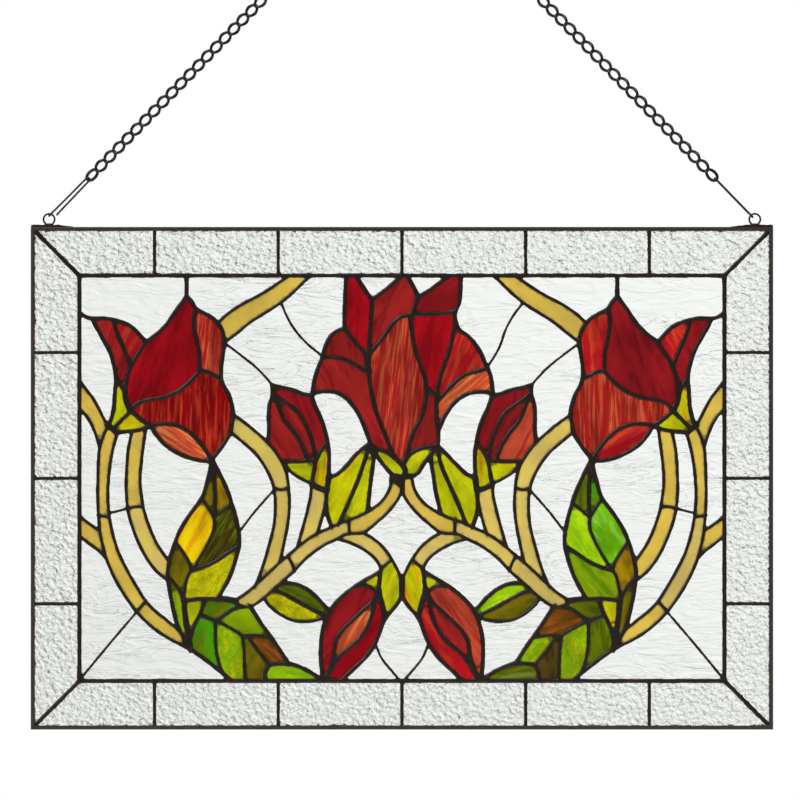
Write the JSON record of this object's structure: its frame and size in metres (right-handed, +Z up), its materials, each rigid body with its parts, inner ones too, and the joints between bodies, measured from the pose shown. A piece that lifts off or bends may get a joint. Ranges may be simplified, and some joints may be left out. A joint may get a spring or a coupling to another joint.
{
  "type": "hanging stained glass window panel",
  "caption": "Rectangular stained glass panel with red tulips, cream stems and green leaves in clear glass, framed and hung on a chain from one ring.",
  "frame": {"origin": "inside top of the top ring, where a nail or hook carries the window", "axes": "+X across the panel to the right as seen from its front, +Y from the front face to the back, +Z up"},
  "size_m": [0.61, 0.0086, 0.7258],
  "materials": {
    "clear_glass": "clear, softly rippled",
    "border_glass": "clear, hammered",
    "red_glass": "streaky cathedral glass",
    "green_glass": "streaky cathedral glass",
    "lime_glass": "streaky cathedral glass",
    "cream_glass": "opalescent glass",
    "dark_solder": "black patina on solder, worn to copper brown",
    "dark_came": "black patina",
    "chain_metal": "blackened wire"
  },
  "bodies": {
    "root": {"sky_left": "clear_glass", "sky_right": "clear_glass", "upper_background_left": "clear_glass", "upper_background_right": "clear_glass", "arch_background_left": "clear_glass", "arch_background_right": "clear_glass", "edge_background_left": "clear_glass", "edge_background_right": "clear_glass", "corner_background_left": "clear_glass", "corner_background_right": "clear_glass", "stem_background_left": "clear_glass", "stem_background_right": "clear_glass", "tulip_background_left": "clear_glass", "tulip_background_right": "clear_glass", "leaf_background_left": "clear_glass", "leaf_background_right": "clear_glass", "bud_background_left": "clear_glass", "bud_background_right": "clear_glass", "sepal_background_left": "clear_glass", "sepal_background_right": "clear_glass", "branch_background_left": "clear_glass", "branch_background_right": "clear_glass", "foot_background_left": "clear_glass", "foot_background_right": "clear_glass", "centre_background": "clear_glass", "bottom_background": "clear_glass", "border_glass": "border_glass", "tulip_left": "red_glass", "tulip_right": "red_glass", "tulip_centre": "red_glass", "side_bud_left": "red_glass", "side_bud_right": "red_glass", "lower_bud_left": "red_glass", "lower_bud_right": "red_glass", "tulip_sepals_left": "lime_glass", "tulip_sepals_right": "lime_glass", "centre_leaf_left": "lime_glass", "centre_leaf_right": "lime_glass", "centre_sepals": "lime_glass", "lower_bud_sepals": "lime_glass", "leaf_spray_left": "green_glass", "leaf_spray_right": "green_glass", "small_leaf_left": "green_glass", "small_leaf_right": "green_glass", "branch_stem_left": "cream_glass", "branch_stem_right": "cream_glass", "outer_stem_left": "cream_glass", "outer_stem_right": "cream_glass", "inner_stem_left": "cream_glass", "inner_stem_right": "cream_glass", "centre_stems": "cream_glass", "solder_lattice": "dark_solder", "frame": "dark_came", "hanging_ring_left": "dark_solder", "hanging_ring_right": "dark_solder", "chain_left": "chain_metal", "chain_right": "chain_metal", "chain_hook_left": "chain_metal", "chain_hook_right": "chain_metal", "top_ring": "chain_metal"}
  },
  "joints": []
}
